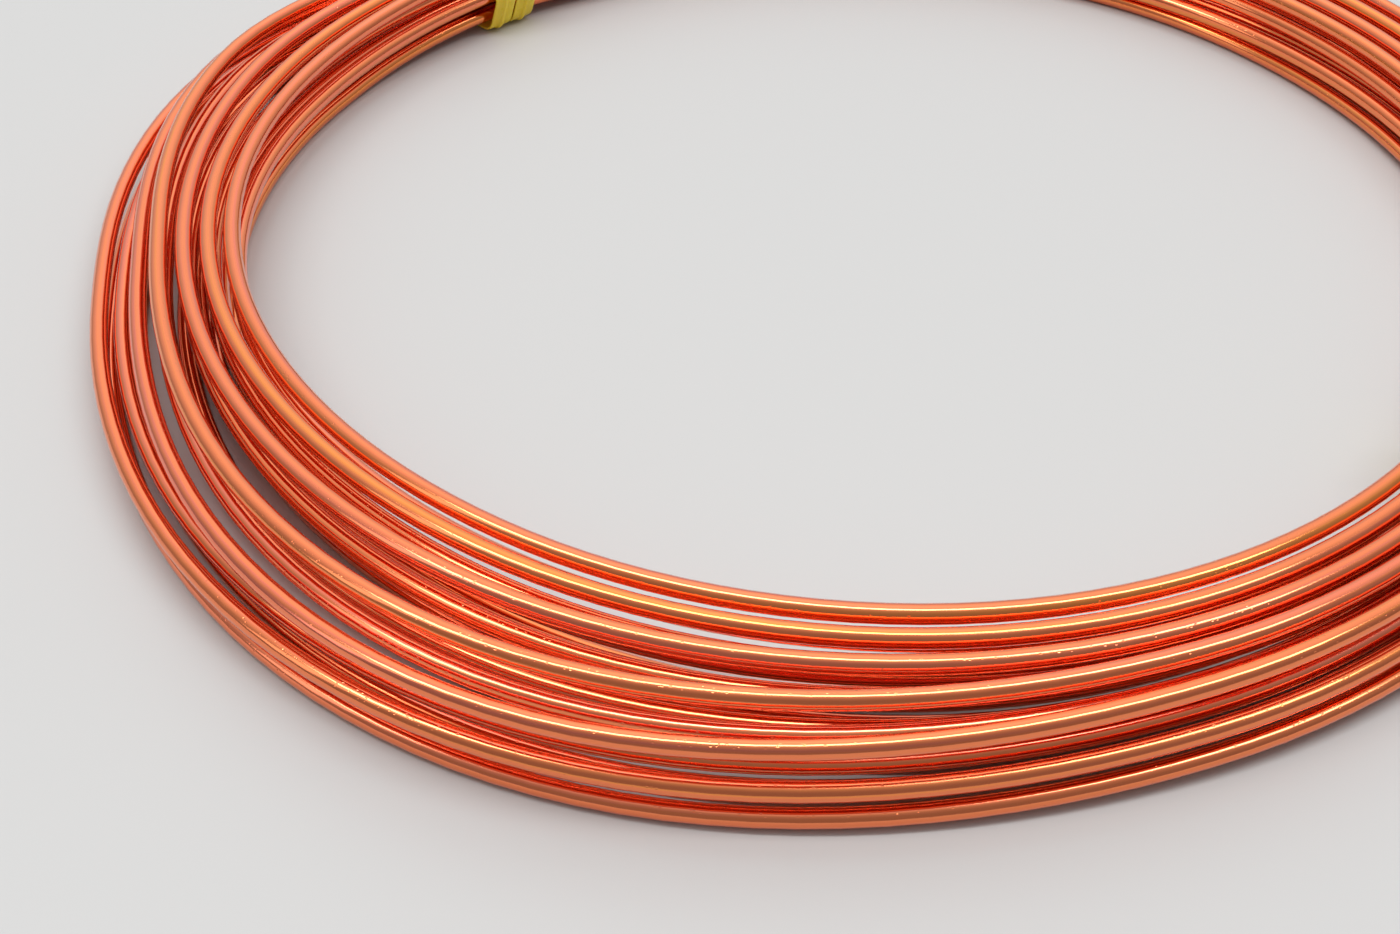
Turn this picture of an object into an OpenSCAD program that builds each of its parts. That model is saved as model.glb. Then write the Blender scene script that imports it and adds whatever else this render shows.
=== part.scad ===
// Loose round coil of bare copper wire, one unbroken length in four piled layers, held by two twist ties.
// +Z is up. The origin is the middle of the coil's eye, on the surface that the coil lies on.
// Azimuths are in degrees round +Z from +X, and -Y is the front. Lengths are in millimetres.

/* [Wire] */
// Diameter of the bare wire
wire_d = 2; // [1.5:0.1:2.5]
// Inside diameter of the coil, across its eye
eye_d = 141; // [110:1:180]

/* [Loops] */
// Loops in the bottom layer, which winds outwards
bottom_loops = 5.25; // [4.25:1:6.25]
// Loops in the second layer, which winds inwards
second_loops = 5.25; // [4.25:1:6.25]
// Loops in the third layer, which winds outwards
third_loops = 4.25; // [3.25:1:5.25]
// Loops in the top layer, which winds inwards
top_loops = 4.25; // [3.25:1:5.25]
// Gap between neighbouring loops of the bottom layer
bottom_gap = 1.05; // [0.6:0.05:1.5]
// Gap between neighbouring loops of the second layer
second_gap = 1.1; // [0.6:0.05:1.5]
// Gap between neighbouring loops of the third layer
third_gap = 1.7; // [0.6:0.05:2]
// Gap between neighbouring loops of the top layer
top_gap = 1.5; // [0.6:0.05:2]
// How far the bottom layer's innermost loop lies out from the eye
bottom_inset = 0.8; // [0:0.1:2]
// How far the second layer's innermost loop lies out from the eye
second_inset = 0.4; // [0:0.1:2]
// How far the third layer's innermost loop lies out from the eye
third_inset = 0.2; // [0:0.1:2]

/* [Pile] */
// Gap between one layer and the next
layer_gap = 1; // [0.8:0.05:1.5]
// How much wider that gap is at the front, and narrower at the back
loft = 0.45; // [0:0.05:0.5]
// Azimuth at which the wire has half climbed into the top layer
top_start_at = 250; // [235:15:265]
// Share of a loop in which the wire climbs a layer
climb_share = 0.5; // [0.4:0.05:0.6]
// How far the whole coil bulges at its rounder side
eye_bulge = 2.4; // [0:0.1:3]
// Azimuth of that bulge's middle
eye_bulge_at = 165; // [150:1:180]
// Angle from there to its end
eye_bulge_reach = 75; // [60:1:90]
// How far the outer loops bulge at the belly
belly_out = 4.6; // [0:0.1:6]
// Azimuth of the belly's middle
belly_at = 236; // [200:1:260]
// Angle from the belly's middle to its end
belly_reach = 52; // [35:1:80]
// How far the outer loops bulge at the shoulder
shoulder_out = 3; // [0:0.1:4]
// Azimuth of the shoulder's middle
shoulder_at = 155; // [145:1:165]
// Angle from the shoulder's middle to its end
shoulder_reach = 36; // [30:1:45]
// Share of the way from loose to tied pitch that the loops are pressed together at the waist
waist_press = 0.8; // [0:0.05:0.85]
// How far the outer loops of the two lower layers stand off from the others there
waist_split = 3; // [0:0.1:4]
// Azimuth of the waist's middle
waist_at = 192; // [185:1:200]
// Angle from the waist's middle to its end
waist_reach = 62; // [50:1:70]
// How far the wire strays to each side of its even spiral
wander = 0.4; // [0:0.05:0.5]

/* [Ties] */
// Azimuth of the tie at the back
back_tie_at = 130; // [100:15:160]
// Angle from the back tie to where its loops lie loose
back_tie_reach = 30; // [25:1:45]
// Azimuth of the tie at the front
front_tie_at = 325; // [310:15:340]
// Angle from the front tie to where its loops lie loose
front_tie_reach = 95; // [60:1:100]
// Gap between loops, and between layers, under a tie
tied_gap = 0.5; // [0.5:0.05:1]
// Width of a tie's plastic ribbon
ribbon_w = 3.4; // [2.5:0.1:4.5]
// Thickness of the ribbon at its edges
ribbon_t = 0.35; // [0.25:0.05:0.6]
// Thickness of the bead along the ribbon's middle
bead_d = 0.9; // [0.8:0.05:1.4]
// Diameter of the steel wire in the bead
core_d = 0.4; // [0.3:0.05:0.6]
// Gap between the ribbon's two turns
turn_gap = 0.3; // [0.2:0.05:1]
// Length of the twist of the ribbon's two ends
twist_l = 10; // [6:0.5:16]
// Turns in that twist
twist_turns = 1.5; // [1:0.25:2.5]
// How far the steel wire shows at the ribbon's ends
core_stub = 0.4; // [0.2:0.1:2]

/* [Clearances] */
// Gap between a tie and the loops that it holds
tie_clear = 0.5; // [0.45:0.05:0.7]
// Gap between the ribbon's ends where they lie on each other
twist_clear = 0.2; // [0.15:0.05:0.5]
// Gap between the steel wire and the ribbon round it
core_clear = 0.06; // [0.05:0.01:0.1]

/* [Hidden] */

wire_sides = 6;
loop_rings = 24;
ring_angle = 360 / loop_rings;
foot_depth = wire_d / 10;
shift_share = 0.5;
shift_lead = 0.4;
wander_rate = 1.07;
belly_from = 0.35;
belly_full = 0.8;
shoulder_from = 0.4;
shoulder_full = 0.85;
split_from = 0.5;
split_full = 0.65;
tied_lean = 0.7;

layer_loops = [bottom_loops, second_loops, third_loops, top_loops];
layer_pitch = [for (gap = [bottom_gap, second_gap, third_gap, top_gap]) wire_d + gap];
layer_inset = [bottom_inset, second_inset, third_inset, 0];
layer_width = [for (k = [0:3]) layer_inset[k] + layer_pitch[k] * layer_loops[k]];
pile_width = max(layer_width);
layer_start = [0, bottom_loops, bottom_loops + second_loops, bottom_loops + second_loops + third_loops];
ring_count = floor((layer_start[3] + top_loops) * loop_rings + 0.001);
start_at = top_start_at - 360 * layer_start[3];

// ---- The wire's route. A place on it is given as the number of loops wound so far. ----

function smooth(x) = let (t = max(0, min(1, x))) t * t * (3 - 2 * t);
function turned(angle) = angle - 360 * floor((angle + 180) / 360);
function hump(angle, at, reach) =
    let (x = turned(angle - at)) abs(x) < reach ? (1 + cos(180 * x / reach)) / 2 : 0;
function azimuth(wound) = start_at + 360 * wound;

// Loops wound so far in layer k
function wound_in(wound, k) = max(0, min(layer_loops[k], wound - layer_start[k]));
// Loops out minus loops in, each layer weighted by its pitch
function spiral(wound, pitch) =
    pitch[0] * wound_in(wound, 0) - pitch[1] * wound_in(wound, 1)
    + pitch[2] * wound_in(wound, 2) - pitch[3] * wound_in(wound, 3);

// At each reversal the next layer may end further out or in than the last one did. A wider layer is
// reached before the climb and a narrower one after it, so that the wire keeps off its own loops.
layer_shift =
    [layer_width[1] - layer_width[0], layer_inset[2] - layer_inset[1], layer_width[3] - layer_width[2]];
widens = [layer_shift[0] > 0, layer_shift[1] < 0, layer_shift[2] > 0];
function shift_start(k) = layer_start[k + 1] - (widens[k] ? shift_lead : 0);
function shifted(wound, k) = layer_shift[k] * smooth((wound - shift_start(k)) / shift_share);
function lean(wound) = layer_inset[0] + shifted(wound, 0) + shifted(wound, 1) + shifted(wound, 2);

// 1 under a tie and 0 where the loops lie loose
function held(angle) =
    max(hump(angle, back_tie_at, back_tie_reach), hump(angle, front_tie_at, front_tie_reach));
tied_pitch = wire_d + tied_gap;
tied_pitches = [for (k = [0:3]) tied_pitch];

function loose_out(wound) = lean(wound) + spiral(wound, layer_pitch);
function tied_out(wound) = tied_lean * lean(wound) + spiral(wound, tied_pitches);

function climbed(wound, k) = smooth((wound - layer_start[k]) / climb_share + 0.5);
function level(wound) = climbed(wound, 1) + climbed(wound, 2) + climbed(wound, 3);
function layer_rise(angle) = wire_d + layer_gap - loft * sin(angle);

// The loops stand on their foot flats, and under a tie they are lifted by the ribbon below them.
tie_lift = foot_depth + tie_clear + bead_d;

// How the loops bulge: all of them, then the outer ones, and then those of the two lower layers
function bulge(wound, angle) =
    let (share = loose_out(wound) / pile_width, low = 1 - smooth(level(wound) - 1))
    eye_bulge * hump(angle, eye_bulge_at, eye_bulge_reach)
    + belly_out * hump(angle, belly_at, belly_reach)
        * smooth((share - belly_from) / (belly_full - belly_from))
    + shoulder_out * hump(angle, shoulder_at, shoulder_reach) * (1 - held(angle))
        * smooth((share - shoulder_from) / (shoulder_full - shoulder_from))
    + waist_split * hump(angle, waist_at, waist_reach) * low
        * smooth((share - split_from) / (split_full - split_from));

function radius(wound) =
    let (
        angle = azimuth(wound),
        grip = 1 - (1 - held(angle)) * (1 - waist_press * hump(angle, waist_at, waist_reach))
    )
    eye_d / 2 + wire_d / 2
    + (1 - grip) * (loose_out(wound) + wander * sin(360 * wander_rate * wound))
    + grip * tied_out(wound)
    + bulge(wound, angle);
function height(wound) =
    let (angle = azimuth(wound), grip = held(angle))
    wire_d / 2 - foot_depth + grip * tie_lift
    + level(wound) * ((1 - grip) * layer_rise(angle) + grip * tied_pitch);
function route(wound) =
    let (angle = azimuth(wound), r = radius(wound))
    [r * cos(angle), r * sin(angle), height(wound)];

wire_route = [for (i = [0:ring_count]) route(i / loop_rings)];
steps_along = [for (i = [1:ring_count]) norm(wire_route[i] - wire_route[i - 1])];
wire_length = steps_along * [for (s = steps_along) 1];

// Least gap of the wire to itself, between each ring and those one or more whole loops further on
loop_gaps = [for (i = [0:ring_count - loop_rings + 1])
    for (j = [i + loop_rings - 1 : loop_rings : ring_count])
    for (k = [j : min(j + 2, ring_count)]) norm(wire_route[i] - wire_route[k]) - wire_d];
echo("least gap of the wire to itself, mm", min(loop_gaps));
echo("length of the wire, mm", wire_length);

// ---- Sweeps. A ring is [centre, axis across, axis out], and the section is points [across, out]. ----

module sweep(rings, section) {
    n = len(section);
    last = len(rings) - 1;
    sides = [for (i = [0:last - 1]) for (k = [0:n - 1]) let (a = i * n + k, b = i * n + (k + 1) % n)
        each [[a, b, b + n], [a, b + n, a + n]]];
    start_cap = [for (k = [1:n - 2]) [0, k + 1, k]];
    end_cap = [for (k = [1:n - 2]) [last * n, last * n + k, last * n + k + 1]];
    polyhedron(
        points = [for (ring = rings) for (q = section) ring[0] + q[0] * ring[1] + q[1] * ring[2]],
        faces = concat(sides, start_cap, end_cap),
        convexity = 10);
}
function round_section(d, sides) =
    [for (k = [0:sides - 1]) let (a = 360 * k / sides - 90) d / 2 * [cos(a), sin(a)]];

// ---- The wire ----

function wire_ring(p, angle) = [p, [cos(angle), sin(angle), 0], [0, 0, 1]];
function straight_on(p, q) = p + wire_d * (p - q) / norm(p - q);

module wire_coil() {
    first = wire_route[0];
    last = wire_route[ring_count];
    rings = concat(
        [wire_ring(straight_on(first, wire_route[1]), start_at)],
        [for (i = [0:ring_count]) wire_ring(wire_route[i], azimuth(i / loop_rings))],
        [wire_ring(straight_on(last, wire_route[ring_count - 1]), azimuth(ring_count / loop_rings))]);
    reach = eye_d + 4 * pile_width;
    color("#d9825f")
    difference() {
        sweep(rings, round_section(wire_d, wire_sides));
        translate([-reach / 2, -reach / 2, -wire_d])
        cube([reach, reach, wire_d]);
    }
}

// ---- A tie: a ribbon wound twice round the loops, with its two ends twisted together outwards ----
// It is drawn with the loops running along Y and the outside of the coil at +X.

// The ring of each loop under the tie that is nearest to an azimuth, as [radius, height]
function first_ring(at) = (round((at - start_at) / ring_angle) % loop_rings + loop_rings) % loop_rings;
function loops_at(at) =
    [for (i = [first_ring(at) : loop_rings : ring_count]) [radius(i / loop_rings), height(i / loop_rings)]];

// The loops that a belt round them touches, in order round their outside
function leftmost_of(p, q, loops) = min([for (r = loops) cross(q - p, r - p)]) >= 0;
function next_touched(p, loops) =
    let (
        ahead = [for (q = loops) if (q != p && leftmost_of(p, q, loops)) q],
        far = max([for (q = ahead) norm(q - p)])
    )
    [for (q = ahead) if (norm(q - p) == far) q][0];
function touched(p, loops, first) =
    let (q = next_touched(p, loops))
    concat([p], q == first ? [] : touched(q, loops, first));
function outermost(loops) =
    let (reach = max([for (p = loops) p[0]])) [for (p = loops) if (p[0] == reach) p][0];

// The belt itself, as points [x, z, normal x, normal z]. It starts and ends in the middle of its steepest
// outer side that doesn't face down, and bends round each loop that it touches.
belt_off = wire_d / 2 + tie_clear + bead_d / 2;
belt_step_angle = 24;
function side_normal(p, q) = [q[1] - p[1], p[0] - q[0]] / norm(q - p);
function round_loop(p, before, after) =
    let (
        start = atan2(before[1], before[0]),
        turn = acos(max(-1, min(1, before * after))),
        steps = ceil(turn / belt_step_angle)
    )
    [for (k = [0 : steps])
        let (a = start + turn * k / steps, n = [cos(a), sin(a)]) concat(p + belt_off * n, n)];
function belt(loops) =
    let (
        first = outermost(loops),
        ring = touched(first, loops, first),
        m = len(ring),
        normals = [for (i = [0 : m - 1]) side_normal(ring[i], ring[(i + 1) % m])],
        steepest = max([for (n = normals) if (n[1] > -0.01) n[0]]),
        side = [for (i = [0 : m - 1]) if (normals[i][0] == steepest) i][0],
        middle = (ring[side] + ring[(side + 1) % m]) / 2 + belt_off * normals[side],
        bends = [for (i = [side + 1 : side + m])
            each round_loop(ring[i % m], normals[(i - 1) % m], normals[i % m])]
    )
    concat([concat(middle, normals[side])], bends);
// Rows of [way along the belt, place], for two rounds of it
function belt_gap(pts, k) = norm([for (c = [0, 1]) pts[(k + 1) % len(pts)][c] - pts[k % len(pts)][c]]);
function belt_rows(pts) = [for (k = 0, s = 0; k <= 2 * len(pts); s = s + belt_gap(pts, k), k = k + 1)
    [s, pts[k % len(pts)]]];

end_gap = bead_d + twist_clear;
end_bend = bead_d;
turn_step = ribbon_w + turn_gap;
bend_steps = 3;
twist_step_angle = 30;
lead_space = 0.3;

function tie_rings(at, extra) =
    let (
        rows = belt_rows(belt(loops_at(at))),
        around = rows[len(rows) - 1][0] / 2,
        x_rows = [for (r = rows) [r[0], r[1][0]]],
        z_rows = [for (r = rows) [r[0], r[1][1]]],
        nx_rows = [for (r = rows) [r[0], r[1][2]]],
        nz_rows = [for (r = rows) [r[0], r[1][3]]],
        side = rows[0][1],
        turn_in = end_gap / 2 + end_bend,
        over = turn_in + ribbon_w,
        lead = [turn_in : ribbon_w / 3 : over + 0.01],
        middle = [for (r = rows) if (r[0] > over + lead_space && r[0] < 2 * around - over - lead_space) r[0]],
        out_again = [for (k = [3 : -1 : 0]) 2 * around - turn_in - k * ribbon_w / 3],
        ways = concat([for (s = lead) s], middle, out_again),
        steps = ceil(360 * twist_turns / twist_step_angle)
    )
    concat(
        [for (k = [steps + extra : -1 : 0]) twist_ring(k, steps, side, 1)],
        [for (k = [1 : bend_steps - 1]) bend_ring(90 * k / bend_steps, side, 1)],
        [for (s = ways)
            let (
                to_end = min(s, 2 * around - s) - turn_in,
                way = [lookup(s, nx_rows), lookup(s, nz_rows)],
                n = way / norm(way),
                out = end_gap * (1 - smooth((to_end - ribbon_w / 2) / ribbon_w)),
                along = turn_step * (s / around - 1) * smooth(to_end / (1.5 * ribbon_w))
            )
            [[lookup(s, x_rows) + out * n[0], along, lookup(s, z_rows) + out * n[1]],
                [0, 1, 0], [n[0], 0, n[1]]]],
        [for (k = [bend_steps - 1 : -1 : 1]) bend_ring(90 * k / bend_steps, side, -1)],
        [for (k = [0 : steps + extra]) twist_ring(k, steps, side, -1)]);

// A direction given as [out from the belt's side, along the loops, up the side]
function way(side, out, along, up) = [side[2] * out - side[3] * up, along, side[3] * out + side[2] * up];
// One ring of the twisted ends; end is 1 for the upper end and -1 for the lower one
function twist_ring(k, steps, side, end) =
    let (
        a = 360 * twist_turns * k / steps,
        stub = core_stub * max(0, k - steps),
        out = end_gap + end_bend + twist_l * min(k, steps) / steps + stub,
        off = end * end_gap / 2
    )
    [[side[0], 0, side[1]] + way(side, out, off * sin(a), off * cos(a)),
        way(side, 0, cos(a), -sin(a)), end * way(side, 0, sin(a), cos(a))];
// One ring of the bend between the belt and the twist
function bend_ring(a, side, end) =
    let (out = end_gap + end_bend * (1 - sin(a)), up = end_gap / 2 + end_bend * (1 - cos(a)))
    [[side[0], 0, side[1]] + way(side, out, 0, end * up), [0, 1, 0], way(side, sin(a), 0, end * cos(a))];

ribbon_section = let (w = ribbon_w / 2, t = ribbon_t / 2, b = bead_d / 2) [
    [-w, -t], [-b, -t], [-b / 2, -b], [b / 2, -b], [b, -t], [w, -t],
    [w, t], [b, t], [b / 2, b], [-b / 2, b], [-b, t], [-w, t]];

// The ribbon's end as triangles of points of its section, and of its bore, which follow them
ribbon_end = [
    [0, 1, 10], [0, 10, 11], [4, 5, 6], [4, 6, 7],
    [1, 2, 17], [2, 12, 17], [2, 3, 12], [3, 13, 12], [3, 4, 13], [4, 14, 13], [4, 7, 14],
    [7, 8, 14], [8, 15, 14], [8, 9, 15], [9, 16, 15], [9, 10, 16], [10, 17, 16], [10, 1, 17]];

module ribbon(rings) {
    section = concat(ribbon_section, round_section(core_d + 2 * core_clear, 6));
    last = len(rings) - 1;
    outside = [for (i = [0:last - 1]) for (k = [0:11]) let (a = 18 * i + k, b = 18 * i + (k + 1) % 12)
        each [[a, b, b + 18], [a, b + 18, a + 18]]];
    bore = [for (i = [0:last - 1]) for (k = [0:5]) let (a = 18 * i + 12 + k, b = 18 * i + 12 + (k + 1) % 6)
        each [[a, b + 18, b], [a, a + 18, b + 18]]];
    start_cap = [for (t = ribbon_end) [t[0], t[2], t[1]]];
    end_cap = [for (t = ribbon_end) [for (k = t) k + 18 * last]];
    polyhedron(
        points = [for (ring = rings) for (q = section) ring[0] + q[0] * ring[1] + q[1] * ring[2]],
        faces = concat(outside, bore, start_cap, end_cap),
        convexity = 10);
}

module tie(at) {
    rotate([0, 0, start_at + ring_angle * first_ring(at)])
    color("#ecd21c")
    ribbon(tie_rings(at, 0));
}

module tie_core(at) {
    rotate([0, 0, start_at + ring_angle * first_ring(at)])
    color("#b9bcc0")
    sweep(tie_rings(at, 1), round_section(core_d, 6));
}

module back_tie() {
    tie(back_tie_at);
}

module back_tie_core() {
    tie_core(back_tie_at);
}

module front_tie() {
    tie(front_tie_at);
}

module front_tie_core() {
    tie_core(front_tie_at);
}

wire_coil();
back_tie();
back_tie_core();
front_tie();
front_tie_core();
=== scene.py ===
"""Looks of the wire coil: a round wire on the CAD coil's route, two twist ties, the floor and the light."""

import math
from itertools import pairwise

import bmesh
import bpy
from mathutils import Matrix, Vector


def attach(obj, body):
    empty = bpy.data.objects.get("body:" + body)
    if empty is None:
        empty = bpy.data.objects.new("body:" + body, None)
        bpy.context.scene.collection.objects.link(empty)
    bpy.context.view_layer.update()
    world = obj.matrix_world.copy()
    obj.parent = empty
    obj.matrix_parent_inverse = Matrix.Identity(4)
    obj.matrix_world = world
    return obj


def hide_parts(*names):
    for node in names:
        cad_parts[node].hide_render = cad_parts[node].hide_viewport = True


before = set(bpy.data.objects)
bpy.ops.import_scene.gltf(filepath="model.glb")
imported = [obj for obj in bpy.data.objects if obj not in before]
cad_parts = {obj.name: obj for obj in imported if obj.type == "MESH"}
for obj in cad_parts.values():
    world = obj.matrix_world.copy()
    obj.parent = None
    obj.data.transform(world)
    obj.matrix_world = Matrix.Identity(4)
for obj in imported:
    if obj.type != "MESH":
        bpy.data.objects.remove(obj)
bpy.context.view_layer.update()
scene = bpy.context.scene
scene.view_settings.view_transform = "Standard"
MM = 0.001

# ---- Camera, at the photograph's angle ----

camera = bpy.data.objects.new("camera", bpy.data.cameras.new("camera"))
scene.collection.objects.link(camera)
camera.data.sensor_width = 36
camera.data.lens = 51.43
camera.data.clip_start = 0.01
camera.location = (-0.0201, -0.1997, 0.1392)
camera.rotation_euler = (math.radians(49), 0, 0)
scene.camera = camera

# ---- The wire's route, in millimetres and degrees, by the formula of the CAD coil ----
# A place on the wire is given as the number of loops wound so far. Azimuths go round +Z from +X.

WIRE_D = 2.0
EYE_D = 141.0
# Of each layer, from the bottom: its loops, the gap between them, and how far out its innermost one lies
LOOPS = (5.25, 5.25, 4.25, 4.25)
GAPS = (1.05, 1.1, 1.7, 1.5)
INSETS = (0.8, 0.4, 0.2, 0.0)
# The layers wind outwards and inwards in turn.
WAYS = (1, -1, 1, -1)
# Gap between the layers, and how much wider it is at the front and narrower at the back
LAYER_GAP = 1.0
LOFT = 0.45
# Azimuth at which the wire has half climbed into the top layer, and the share of a loop that a climb takes
TOP_START_AT = 250
CLIMB_SHARE = 0.5
# Bulges of the coil: how far, the azimuth of the middle, and the angle from there to the end
EYE_BULGE = (2.4, 165, 75)
BELLY = (4.6, 236, 52)
SHOULDER = (3.0, 155, 36)
# The waist: where it is, how hard the loops are pressed together there, and how far the outer ones split off
WAIST_AT, WAIST_REACH = 192, 62
WAIST_PRESS, WAIST_SPLIT = 0.8, 3.0
# Shares of the pile's width between which a bulge or the split takes hold
BELLY_SPAN = (0.35, 0.8)
SHOULDER_SPAN = (0.4, 0.85)
SPLIT_SPAN = (0.5, 0.65)
# How far the wire strays to each side of its even spiral, and how many times in a loop
WANDER, WANDER_RATE = 0.4, 1.07
# Azimuth of a tie, and the angle from there to where the loops lie loose
BACK_TIE = (130, 30)
FRONT_TIE = (325, 95)
# Gap between loops under a tie, and the share of a layer's lean that is left there
TIED_GAP, TIED_LEAN = 0.5, 0.7
# Gap between a tie and the loops that it holds, and the bead along the middle of its ribbon
TIE_CLEAR = 0.5
BEAD_D = 0.9
# Share of a loop in which a layer shifts at a reversal, and how long before it a wider one starts to
SHIFT_SHARE, SHIFT_LEAD = 0.5, 0.4

PITCHES = [WIRE_D + gap for gap in GAPS]
WIDTHS = [inset + pitch * loops for inset, pitch, loops in zip(INSETS, PITCHES, LOOPS, strict=True)]
PILE_WIDTH = max(WIDTHS)
STARTS = [sum(LOOPS[:k]) for k in range(len(LOOPS))]
ALL_LOOPS = sum(LOOPS)
START_AT = TOP_START_AT - 360 * STARTS[-1]
SHIFTS = (WIDTHS[1] - WIDTHS[0], INSETS[2] - INSETS[1], WIDTHS[3] - WIDTHS[2])
WIDENS = (SHIFTS[0] > 0, SHIFTS[1] < 0, SHIFTS[2] > 0)
FOOT = WIRE_D / 10
TIED_PITCH = WIRE_D + TIED_GAP
TIE_LIFT = FOOT + TIE_CLEAR + BEAD_D


def smooth(x):
    """A smooth step from 0 to 1 as x goes from 0 to 1."""
    t = max(0.0, min(1.0, x))
    return t * t * (3 - 2 * t)


def between(x, span):
    """0 below a span, 1 above it, and a smooth step in it."""
    return smooth((x - span[0]) / (span[1] - span[0]))


def hump(angle, at, reach):
    """1 at an azimuth, falling smoothly to 0 at a reach to each side of it."""
    x = (angle - at + 180) % 360 - 180
    return (1 + math.cos(math.pi * x / reach)) / 2 if abs(x) < reach else 0.0


def azimuth(wound):
    return START_AT + 360 * wound


def held(angle):
    """1 under a tie and 0 where the loops lie loose."""
    return max(hump(angle, *BACK_TIE), hump(angle, *FRONT_TIE))


def spiral(wound, pitches):
    """Loops out minus loops in, each layer weighted by its pitch."""
    return sum(
        way * pitch * max(0.0, min(loops, wound - start))
        for way, pitch, loops, start in zip(WAYS, pitches, LOOPS, STARTS, strict=True)
    )


def lean(wound):
    """How far the layer's innermost loop lies out from the eye, with the steps at the reversals."""
    out = INSETS[0]
    for shift, widens, reversal in zip(SHIFTS, WIDENS, STARTS[1:], strict=True):
        start = reversal - (SHIFT_LEAD if widens else 0)
        out += shift * smooth((wound - start) / SHIFT_SHARE)
    return out


def layer_level(wound):
    """Layers climbed so far. A climb is half done at the reversal."""
    return sum(smooth((wound - start) / CLIMB_SHARE + 0.5) for start in STARTS[1:])


def bulge(wound, angle, loose):
    """How far the coil bulges. Only its two lower layers split at the waist."""
    share = loose / PILE_WIDTH
    low = 1 - smooth(layer_level(wound) - 1)
    return (
        EYE_BULGE[0] * hump(angle, *EYE_BULGE[1:])
        + BELLY[0] * hump(angle, *BELLY[1:]) * between(share, BELLY_SPAN)
        + SHOULDER[0] * hump(angle, *SHOULDER[1:]) * (1 - held(angle)) * between(share, SHOULDER_SPAN)
        + WAIST_SPLIT * hump(angle, WAIST_AT, WAIST_REACH) * low * between(share, SPLIT_SPAN)
    )


def radius(wound):
    """From the middle of the eye to the wire's centreline. A tie or the waist draws the loops together."""
    angle = azimuth(wound)
    loose = lean(wound) + spiral(wound, PITCHES)
    tied = TIED_LEAN * lean(wound) + spiral(wound, [TIED_PITCH] * len(LOOPS))
    grip = 1 - (1 - held(angle)) * (1 - WAIST_PRESS * hump(angle, WAIST_AT, WAIST_REACH))
    stray = WANDER * math.sin(2 * math.pi * WANDER_RATE * wound)
    return EYE_D / 2 + WIRE_D / 2 + (1 - grip) * (loose + stray) + grip * tied + bulge(wound, angle, loose)


def height(wound):
    """The height of the CAD wire's centreline. Its feet are cut flat, and a tie lifts its loops."""
    angle = azimuth(wound)
    rise = WIRE_D + LAYER_GAP - LOFT * math.sin(math.radians(angle))
    loose_rise = layer_level(wound) * ((1 - held(angle)) * rise + held(angle) * TIED_PITCH)
    return WIRE_D / 2 - FOOT + held(angle) * TIE_LIFT + loose_rise


def route(wound):
    """A point of the round wire's centreline. It stands on its lowest points, as the solid on its flats."""
    turn = math.radians(azimuth(wound))
    r = radius(wound)
    return Vector((r * math.cos(turn), r * math.sin(turn), max(height(wound), WIRE_D / 2)))


# ---- Mesh tools ----

STRAND_UV = "along_round"
# Where a strand's flat ends lie on its UV map, in turns round it
END_TURN = 0.5


def mesh_object(name, mesh, material, node, slot):
    """A piece that rides on the part's one body and takes the place of a CAD node."""
    made = bpy.data.objects.new(name, mesh)
    scene.collection.objects.link(made)
    made.data.materials.append(material)
    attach(made, "root")
    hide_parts(node)
    return made


def swept(name, rings, lengths):
    """A closed tube through rings of points in millimetres, each at a length along it.

    Its UV map is metres along it and turns round it.
    """
    mesh = bpy.data.meshes.new(name)
    made = bmesh.new()
    uv = made.loops.layers.uv.new(STRAND_UV)
    count = len(rings[0])
    last = len(rings) - 1
    verts = [[made.verts.new(p * MM) for p in ring] for ring in rings]
    for i in range(last):
        for k in range(count):
            after = (k + 1) % count
            face = made.faces.new((verts[i][k], verts[i][after], verts[i + 1][after], verts[i + 1][k]))
            face.smooth = True
            spots = ((i, k), (i, k + 1), (i + 1, k + 1), (i + 1, k))
            for loop, (row, side) in zip(face.loops, spots, strict=True):
                loop[uv].uv = (lengths[row] * MM, side / count)
    for row, corners in ((0, verts[0][::-1]), (last, verts[last])):
        cap = made.faces.new(corners)
        for loop in cap.loops:
            loop[uv].uv = (lengths[row] * MM, END_TURN)
    bmesh.ops.recalc_face_normals(made, faces=made.faces)
    made.to_mesh(mesh)
    made.free()
    return mesh


def lengths_along(points):
    """The way along a line of points, at each of them."""
    lengths = [0.0]
    for a, b in pairwise(points):
        lengths.append(lengths[-1] + (b - a).length)
    return lengths


# ---- Materials ----


def add(tree, kind, inputs, **settings):
    """A shader node. Each of its inputs is given as a number, a colour or the socket that it takes."""
    node = tree.nodes.new("ShaderNode" + kind)
    for name, value in settings.items():
        setattr(node, name, value)
    for name, value in inputs.items():
        if isinstance(value, bpy.types.NodeSocket):
            tree.links.new(value, node.inputs[name])
        else:
            node.inputs[name].default_value = value
    return node


def ramp(tree, source, *stops):
    """A colour ramp through (place, colour or grey) stops."""
    node = add(tree, "ValToRGB", {0: source})
    elements = node.color_ramp.elements
    while len(elements) < len(stops):
        elements.new(0.5)
    for element, (at, colour) in zip(elements, stops, strict=True):
        element.position = at
        element.color = (*colour, 1.0) if isinstance(colour, tuple) else (colour, colour, colour, 1.0)
    return node.outputs[0]


def mixed(tree, kind, factor, a, b):
    """Colour a blended with colour b by a factor."""
    inputs = {"Factor": factor, "A": a, "B": b}
    return add(tree, "Mix", inputs, data_type="RGBA", blend_type=kind).outputs["Result"]


def maths(tree, operation, a, b=0.0):
    return add(tree, "Math", {0: a, 1: b}, operation=operation).outputs[0]


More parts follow.
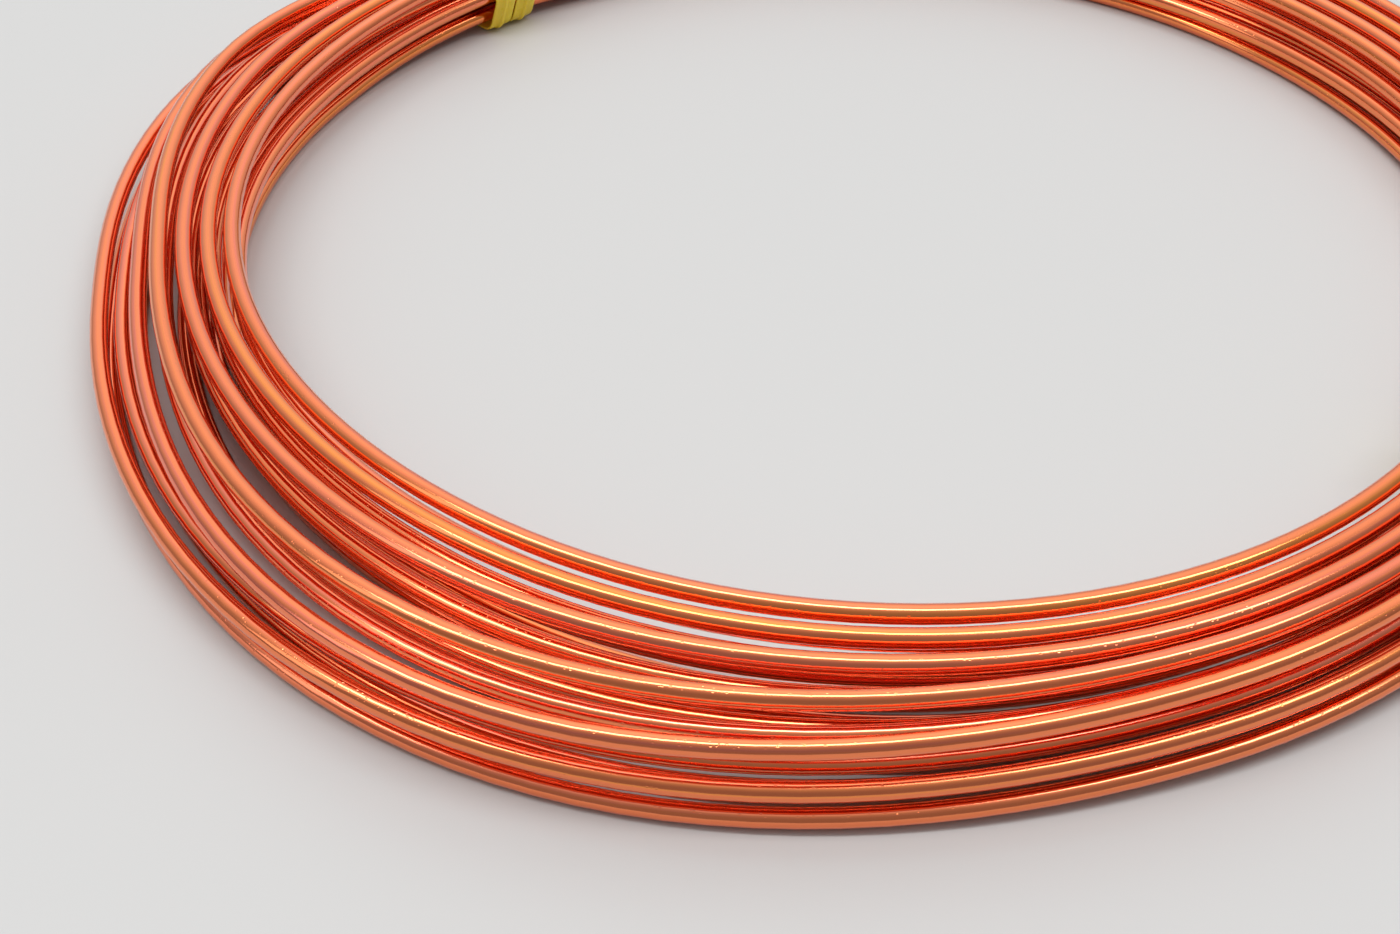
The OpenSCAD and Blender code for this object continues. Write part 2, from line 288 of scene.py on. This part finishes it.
def new_material(name, **numbers):
    """A material with its shader's plain numbers set, its node tree and its shader."""
    material = bpy.data.materials.new(name)
    material.use_nodes = True
    shader = material.node_tree.nodes["Principled BSDF"]
    for socket, value in numbers.items():
        shader.inputs[socket.replace("_", " ")].default_value = value
    return material, material.node_tree, shader


def strand_place(tree):
    """A call that gives places on a strand, scaled along it and across it, and seamless round it."""
    spot = add(tree, "UVMap", {}, uv_map=STRAND_UV).outputs[0]
    parts = add(tree, "SeparateXYZ", {0: spot})
    turn = maths(tree, "MULTIPLY", parts.outputs["Y"], 2 * math.pi)
    sides = [maths(tree, way, turn) for way in ("COSINE", "SINE")]

    def place(per_metre, across):
        along = maths(tree, "MULTIPLY", parts.outputs["X"], per_metre)
        wide = [maths(tree, "MULTIPLY", side, across) for side in sides]
        return add(tree, "CombineXYZ", {0: along, 1: wide[0], 2: wide[1]}).outputs[0]

    return place


def strand_noise(tree, place):
    """A call that gives noise on a strand, so many blotches a metre along it."""

    def noise(per_metre, across, detail=2.0, rough=0.5):
        inputs = {"Vector": place(per_metre, across), "Scale": 1.0, "Detail": detail, "Roughness": rough}
        return add(tree, "TexNoise", inputs).outputs["Fac"]

    return noise


def relief(tree, shader, *layers):
    """Bumps of (height, strength, distance in metres) on each other."""
    last = None
    for source, strength, distance in layers:
        inputs = {"Height": source, "Strength": strength, "Distance": distance}
        if last:
            inputs["Normal"] = last
        last = add(tree, "Bump", inputs).outputs[0]
    tree.links.new(last, shader.inputs["Normal"])


def copper_tint(tree, noise, film, lines):
    """Rose to orange in bands that drift along the wire, dimmed by the tarnish and in the die's lines."""
    rose, salmon, orange = (0.99, 0.25, 0.15), (1.0, 0.268, 0.105), (1.0, 0.315, 0.075)
    tarnish = (0.78, 0.20, 0.11, 1.0)
    drift = maths(tree, "MULTIPLY", noise(6, 0.5), 0.5)
    bands = maths(tree, "MULTIPLY", noise(3.5, 2.2, detail=3.0), 0.5)
    tint = maths(tree, "ADD", drift, bands)
    clean = ramp(tree, tint, (0.38, rose), (0.47, salmon), (0.54, salmon), (0.63, orange))
    filmed = mixed(tree, "MIX", ramp(tree, film, (0.58, 0.0), (0.74, 0.25)), clean, tarnish)
    return mixed(tree, "MULTIPLY", 1.0, filmed, ramp(tree, lines, (0.34, 0.94), (0.5, 1.0)))


def copper():
    # The coat is the thin film of drawing oil.
    material, tree, shader = new_material(
        "bright_copper",
        Metallic=1.0,
        Coat_Weight=0.3,
        Coat_Roughness=0.12,
    )
    place = strand_place(tree)
    noise = strand_noise(tree, place)
    # Fingermarks and the first film of tarnish, and fine lines that the drawing die leaves along the wire
    film = noise(24, 1.1, detail=4.0, rough=0.6)
    lines = noise(9, 14, detail=3.0, rough=0.7)
    tree.links.new(copper_tint(tree, noise, film, lines), shader.inputs["Base Color"])

    # Polished by the die, and duller under the film and where other loops have rubbed
    rub = ramp(tree, noise(70, 1.8, detail=3.0), (0.4, 0.11), (0.7, 0.17))
    dulled = ramp(tree, film, (0.52, 0.0), (0.76, 0.1))
    tree.links.new(maths(tree, "ADD", rub, dulled), shader.inputs["Roughness"])

    # The die's lines, nicks across the wire, and small pits, which lie together where it was rubbed
    nicks = ramp(tree, noise(300, 2.2), (0.2, 0.0), (0.27, 1.0))
    spots = add(tree, "TexVoronoi", {"Vector": place(1600, 2.6), "Scale": 1.0})
    pitted = ramp(tree, noise(22, 1.4, detail=3.0), (0.56, 0.0), (0.64, 1.0))
    pits = maths(tree, "MULTIPLY", ramp(tree, spots.outputs["Distance"], (0.12, 1.0), (0.26, 0.0)), pitted)
    relief(tree, shader, (lines, 0.015, 0.00005), (nicks, 0.06, 0.00004), (pits, 0.5, -0.00004))
    return material


def yellow_plastic():
    """Plastic, paler where it was rubbed and duller in patches, with creases and a fine grain."""
    material, tree, shader = new_material("ribbon_plastic", Roughness=0.32)
    noise = strand_noise(tree, strand_place(tree))
    tone = ramp(tree, noise(90, 0.8, detail=3.0), (0.35, (0.88, 0.62, 0.02)), (0.65, (0.94, 0.74, 0.04)))
    rubbed = ramp(tree, noise(420, 2.5, detail=3.0, rough=0.6), (0.60, 0.0), (0.75, 0.3))
    colour = mixed(tree, "MIX", rubbed, tone, (0.95, 0.86, 0.35, 1.0))
    tree.links.new(colour, shader.inputs["Base Color"])
    rough = ramp(tree, noise(300, 1.5, detail=3.0), (0.35, 0.26), (0.7, 0.42))
    tree.links.new(rough, shader.inputs["Roughness"])
    relief(tree, shader, (noise(700, 1.0), 0.35, 0.0001), (noise(2500, 6.0), 0.12, 0.00003))
    return material


def steel():
    """Annealed steel, lighter and duller in patches, with a fine grain."""
    material, tree, shader = new_material("core_steel", Metallic=1.0)
    noise = strand_noise(tree, strand_place(tree))
    tone = ramp(tree, noise(900, 1.2, detail=3.0), (0.35, (0.42, 0.42, 0.43)), (0.65, (0.62, 0.62, 0.63)))
    tree.links.new(tone, shader.inputs["Base Color"])
    tree.links.new(ramp(tree, noise(1500, 3.0), (0.3, 0.25), (0.7, 0.45)), shader.inputs["Roughness"])
    relief(tree, shader, (noise(400, 8.0), 0.15, 0.00002))
    return material


# ---- The wire ----

# Along the route, in metres
WIRE_SIDES = 16
STEPS_PER_LOOP = 144
# Length of each end that the cutters have squeezed, and how much thinner and wider they leave it
BITE, BITE_THIN, BITE_WIDE = 0.9, 0.8, 0.06
# Steps along a straight end, which is one diameter long
END_STEPS = (0.25, 0.5, 0.7, 0.85, 0.95, 1.0)


def wire_line():
    """The route, with straight ends in finer steps where the cutters bit."""
    count = round(ALL_LOOPS * STEPS_PER_LOOP)
    line = [route(ALL_LOOPS * i / count) for i in range(count + 1)]
    head = (line[0] - line[1]).normalized()
    tail = (line[-1] - line[-2]).normalized()
    before = [line[0] + head * WIRE_D * step for step in reversed(END_STEPS)]
    return before + line + [line[-1] + tail * WIRE_D * step for step in END_STEPS]


def wire_rings(line, lengths):
    """A round section at each point of the line, squeezed near both ends."""
    turns = [2 * math.pi * k / WIRE_SIDES for k in range(WIRE_SIDES)]
    last = len(line) - 1
    rings = []
    for i, p in enumerate(line):
        ahead = (line[min(i + 1, last)] - line[max(i - 1, 0)]).normalized()
        across = ahead.cross(Vector((0, 0, 1))).normalized()
        up = across.cross(ahead)
        pinch = max(0.0, 1 - min(lengths[i], lengths[-1] - lengths[i]) / BITE)
        thin, wide = 1 - BITE_THIN * pinch, 1 + BITE_WIDE * math.sin(math.pi * pinch)
        offs = [math.cos(a) * wide * across + math.sin(a) * thin * up for a in turns]
        rings.append([p + WIRE_D / 2 * off for off in offs])
    return rings


def make_wire(line):
    lengths = lengths_along(line)
    mesh = swept("wire", wire_rings(line, lengths), lengths)
    return mesh_object("wire", mesh, copper(), "wire_coil", "copper")


centreline = wire_line()
wire = make_wire(centreline)
wire_path = [p * MM for p in centreline]

# ---- The ties, by the CAD's rules in finer steps: a ribbon twice round the loops, its ends twisted ----
# A tie is worked out with the loops running along Y and the outside of the coil at +X, and then turned.

RIBBON_W, RIBBON_T = 3.4, 0.35
CORE_D, CORE_STUB = 0.4, 0.4
# Gap between the ribbon's two turns, and between its ends where they lie on each other
TURN_GAP, TWIST_CLEAR = 0.3, 0.2
TWIST_L, TWIST_TURNS = 10.0, 1.5
# How far the ribbon's middle stands off the middle of a loop that it holds
BELT_OFF = WIRE_D / 2 + TIE_CLEAR + BEAD_D / 2
END_GAP = BEAD_D + TWIST_CLEAR
END_BEND = BEAD_D
TURN_STEP = RIBBON_W + TURN_GAP
# Way in which the ribbon moves sideways from its end to its turn
SIDEWAYS_L = 1.5 * RIBBON_W
BELT_STEP = 0.4
BELT_STEP_ANGLE = 8
TWIST_STEPS, BEND_STEPS = 48, 8
ARC_STEPS, EDGE_STEPS = 8, 4
CORE_SIDES = 10
# Least z of the normal of a side of the belt that doesn't face down
LEAST_NORMAL_Z = -0.01
# Stands in for the way between two points of the belt that lie on one spot
TINY = 1e-9


def loops_at(at):
    """Where the loops pass an azimuth, as (radius, height)."""
    first = (at - START_AT) / 360 % 1
    return [(radius(first + k), height(first + k)) for k in range(math.ceil(ALL_LOOPS - first))]


def touched(loops):
    """The loops that a belt round them touches, counter-clockwise."""

    def half(ordered):
        kept = []
        for p in ordered:
            while len(kept) > 1:
                (ax, ay), (bx, by) = kept[-2:]
                if (bx - ax) * (p[1] - ay) > (by - ay) * (p[0] - ax):
                    break
                kept.pop()
            kept.append(p)
        return kept[:-1]

    ordered = sorted(loops)
    return half(ordered) + half(ordered[::-1])


def belt(loops):
    """Points (way, x, z, normal x, normal z) once round, from the middle of the steepest outer side."""
    ring = [Vector(p) for p in touched(loops)]
    count = len(ring)
    normals = []
    for p, q in zip(ring, ring[1:] + ring[:1], strict=True):
        normals.append(Vector((q.y - p.y, p.x - q.x)).normalized())
    side = max((i for i in range(count) if normals[i].y > LEAST_NORMAL_Z), key=lambda i: normals[i].x)
    points = [(ring[side] + ring[(side + 1) % count]) / 2 + BELT_OFF * normals[side]]
    outs = [normals[side]]
    for i in range(side + 1, side + count + 1):
        before, after = normals[(i - 1) % count], normals[i % count]
        start = math.atan2(before.y, before.x)
        turn = math.acos(max(-1.0, min(1.0, before.dot(after))))
        steps = math.ceil(math.degrees(turn) / BELT_STEP_ANGLE)
        for k in range(steps + 1):
            a = start + turn * k / max(1, steps)
            outs.append(Vector((math.cos(a), math.sin(a))))
            points.append(ring[i % count] + BELT_OFF * outs[-1])
    closed = points + points[:1]
    ways = lengths_along(closed)
    return [(way, *p, *out) for way, p, out in zip(ways, closed, outs + outs[:1], strict=True)]


def lookup(rows, way):
    """The belt's point and normal at a way along it."""
    way %= rows[-1][0]
    after = next(i for i in range(1, len(rows)) if rows[i][0] >= way)
    a, b = rows[after - 1], rows[after]
    t = (way - a[0]) / max(TINY, b[0] - a[0])
    x, z, normal_x, normal_z = (p + t * (q - p) for p, q in zip(a[1:], b[1:], strict=True))
    return Vector((x, 0, z)), Vector((normal_x, 0, normal_z)).normalized()


def tie_rings(at):
    """Rings of (centre, axis across the ribbon, axis out of it), from one twisted end to the other."""
    rows = belt(loops_at(at))
    around = rows[-1][0]
    origin, out_way = lookup(rows, 0.0)
    up_way = Vector((-out_way.z, 0, out_way.x))
    along_way = Vector((0, 1, 0))
    turn_in = END_GAP / 2 + END_BEND

    def direction(out, along, up):
        return out * out_way + along * along_way + up * up_way

    def twist_ring(share, end):
        a = 2 * math.pi * TWIST_TURNS * share
        out = END_GAP + END_BEND + TWIST_L * share
        off = end * END_GAP / 2
        centre = origin + direction(out, off * math.sin(a), off * math.cos(a))
        return centre, direction(0, math.cos(a), -math.sin(a)), end * direction(0, math.sin(a), math.cos(a))

    def bend_ring(share, end):
        a = math.pi / 2 * share
        out = END_GAP + END_BEND * (1 - math.sin(a))
        up = END_GAP / 2 + END_BEND * (1 - math.cos(a))
        return origin + direction(out, 0, end * up), along_way, direction(math.sin(a), 0, end * math.cos(a))

    def belt_ring(way):
        centre, normal = lookup(rows, way)
        to_end = min(way, 2 * around - way) - turn_in
        out = END_GAP * (1 - smooth((to_end - RIBBON_W / 2) / RIBBON_W))
        along = TURN_STEP * (way / around - 1) * smooth(to_end / SIDEWAYS_L)
        return centre + out * normal + along * along_way, along_way, normal

    count = round(2 * (around - turn_in) / BELT_STEP)
    ways = [turn_in + 2 * (around - turn_in) * k / count for k in range(count + 1)]
    bends = [k / BEND_STEPS for k in range(1, BEND_STEPS)]
    twists = [k / TWIST_STEPS for k in range(TWIST_STEPS + 1)]
    return (
        [twist_ring(share, 1) for share in reversed(twists)]
        + [bend_ring(share, 1) for share in bends]
        + [belt_ring(way) for way in ways]
        + [bend_ring(share, -1) for share in reversed(bends)]
        + [twist_ring(share, -1) for share in twists]
    )


def longer(rings, extra):
    """The rings with both ends run out by a stub."""

    def stub(end, inner):
        centre, across, out = end
        way = (centre - inner[0]).normalized()
        return centre + extra * way, across, out

    return [stub(rings[0], rings[1]), *rings, stub(rings[-1], rings[-2])]


def ribbon_section():
    """A flat ribbon with rounded edges, and a round bead along the middle of both faces."""
    w, t, b = RIBBON_W / 2, RIBBON_T / 2, BEAD_D / 2
    root = math.asin(t / b)
    lower = [math.pi + root + (math.pi - 2 * root) * k / ARC_STEPS for k in range(ARC_STEPS + 1)]
    edge = [math.pi * (k / EDGE_STEPS - 0.5) for k in range(EDGE_STEPS + 1)]
    half = [(b * math.cos(a), b * math.sin(a)) for a in lower]
    half += [(w - t + t * math.cos(a), t * math.sin(a)) for a in edge]
    return half + [(-x, -y) for x, y in half]


def core_section():
    turns = [2 * math.pi * k / CORE_SIDES for k in range(CORE_SIDES)]
    return [(CORE_D / 2 * math.cos(a), CORE_D / 2 * math.sin(a)) for a in turns]


def placed(rings, section, at):
    """The section set on each ring, and all of it turned to the tie's azimuth."""
    turn = math.radians(at)
    cos, sin = math.cos(turn), math.sin(turn)
    made = []
    for centre, across, out in rings:
        ring = [centre + x * across + y * out for x, y in section]
        made.append([Vector((p.x * cos - p.y * sin, p.x * sin + p.y * cos, p.z)) for p in ring])
    return made


def make_tie(node, at, plastic, metal):
    """A tie's ribbon and the steel wire in it."""
    rings = tie_rings(at)
    made = []
    for name, path, section, material, slot in (
        (node, rings, ribbon_section(), plastic, "ribbon"),
        (node + "_core", longer(rings, CORE_STUB), core_section(), metal, "core"),
    ):
        ways = lengths_along([ring[0] for ring in path])
        mesh = swept(name + "_swept", placed(path, section, at), ways)
        made.append(mesh_object(name + "_swept", mesh, material, name, slot))
    return made


plastic, core_metal = yellow_plastic(), steel()
ties = make_tie("back_tie", BACK_TIE[0], plastic, core_metal)
ties += make_tie("front_tie", FRONT_TIE[0], plastic, core_metal)

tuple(wire_path[0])

# ---- Floor and light, in metres ----

# How far the floor reaches from the middle to each side
FLOOR_REACH = 6.0
# The room is brightest behind the coil, 55 degrees up, and dimmest behind the camera and below.
BRIGHTEST_WAY = (0.0, 0.57, 0.82)
ROOM_LIGHT = 1.4


def lay_floor():
    mesh = bpy.data.meshes.new("floor")
    made = bmesh.new()
    bmesh.ops.create_grid(made, x_segments=1, y_segments=1, size=FLOOR_REACH)
    made.to_mesh(mesh)
    made.free()
    floor = bpy.data.objects.new("floor", mesh)
    scene.collection.objects.link(floor)
    material, _, _ = new_material("floor", Base_Color=(0.6, 0.6, 0.595, 1.0), Roughness=0.55)
    floor.data.materials.append(material)


def light_room():
    """World light that depends on the way it comes from."""
    world = bpy.data.worlds.new("world")
    scene.world = world
    world.use_nodes = True
    tree = world.node_tree
    background = tree.nodes["Background"]
    way = add(tree, "TexCoord", {}).outputs["Generated"]
    facing = add(tree, "VectorMath", {0: way, 1: BRIGHTEST_WAY}, operation="DOT_PRODUCT").outputs["Value"]
    room = ramp(tree, facing, (0.0, 0.2), (0.4, 0.29), (0.75, 0.54), (0.93, 0.74), (1.0, 1.0))
    tree.links.new(room, background.inputs["Color"])
    background.inputs["Strength"].default_value = ROOM_LIGHT


def softbox(name, location, width, height, radiance):
    """A soft lamp that looks at the origin."""
    lamp = bpy.data.lights.new(name, "AREA")
    lamp.shape = "RECTANGLE"
    lamp.size, lamp.size_y = width, height
    lamp.energy = radiance * math.pi * width * height
    made = bpy.data.objects.new(name, lamp)
    scene.collection.objects.link(made)
    made.location = location
    made.rotation_mode = "QUATERNION"
    made.rotation_quaternion = (-Vector(location)).to_track_quat("-Z", "Y")
    made.visible_camera = False


lay_floor()
light_room()
softbox("overhead", (0.0, -0.05, 1.12), width=2.0, height=0.24, radiance=6.0)
softbox("side", (-1.3, -0.3, 0.9), width=0.35, height=1.2, radiance=1.0)
